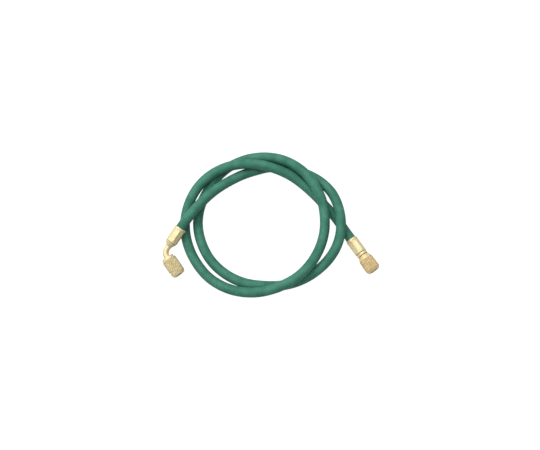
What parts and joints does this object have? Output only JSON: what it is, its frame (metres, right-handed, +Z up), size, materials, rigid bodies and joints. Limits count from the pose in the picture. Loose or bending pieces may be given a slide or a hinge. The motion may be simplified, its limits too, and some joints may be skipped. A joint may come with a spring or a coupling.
{
  "type": "refrigerant charging hose",
  "caption": "Coiled rubber charging hose with crimped brass flare fittings, one straight and one bent, each with a swivel nut.",
  "frame": {"origin": "middle of the footprint of the hose as it lies on a level floor, at floor height", "axes": "+Z up from the floor, +X from the bent fitting's side to the straight fitting's side, +Y to the far side of the coil, away from both nuts' mouths"},
  "size_m": [0.2727, 0.1914, 0.029],
  "materials": {
    "hose_rubber": "smooth matte green rubber cover",
    "brass": "turned and crimped pale brass",
    "knurled_brass": "knurled pale brass",
    "gasket_rubber": "matte black rubber"
  },
  "bodies": {
    "hose_assembly": {"charging_hose": "hose_rubber", "ferrule_bent_end": "brass", "bent_stem": "brass", "gasket_bent_end": "gasket_rubber", "core_depressor": "brass", "ferrule_straight_end": "brass", "straight_stem": "brass", "gasket_straight_end": "gasket_rubber"},
    "bent_nut": {"swivel_nut_bent_end": "knurled_brass"},
    "straight_nut": {"swivel_nut_straight_end": "knurled_brass"}
  },
  "joints": [
    {"name": "bent_nut_spin", "type": "hinge", "parent": "hose_assembly", "child": "bent_nut", "pos_m": [-0.13026, -0.04462, 0.01122], "axis": [0.5953, -0.7994, -0.0812], "continuous": true},
    {"name": "straight_nut_spin", "type": "hinge", "parent": "hose_assembly", "child": "straight_nut", "pos_m": [0.11699, -0.04174, 0.00935], "axis": [0.5539, -0.8309, 0.0524], "continuous": true}
  ]
}
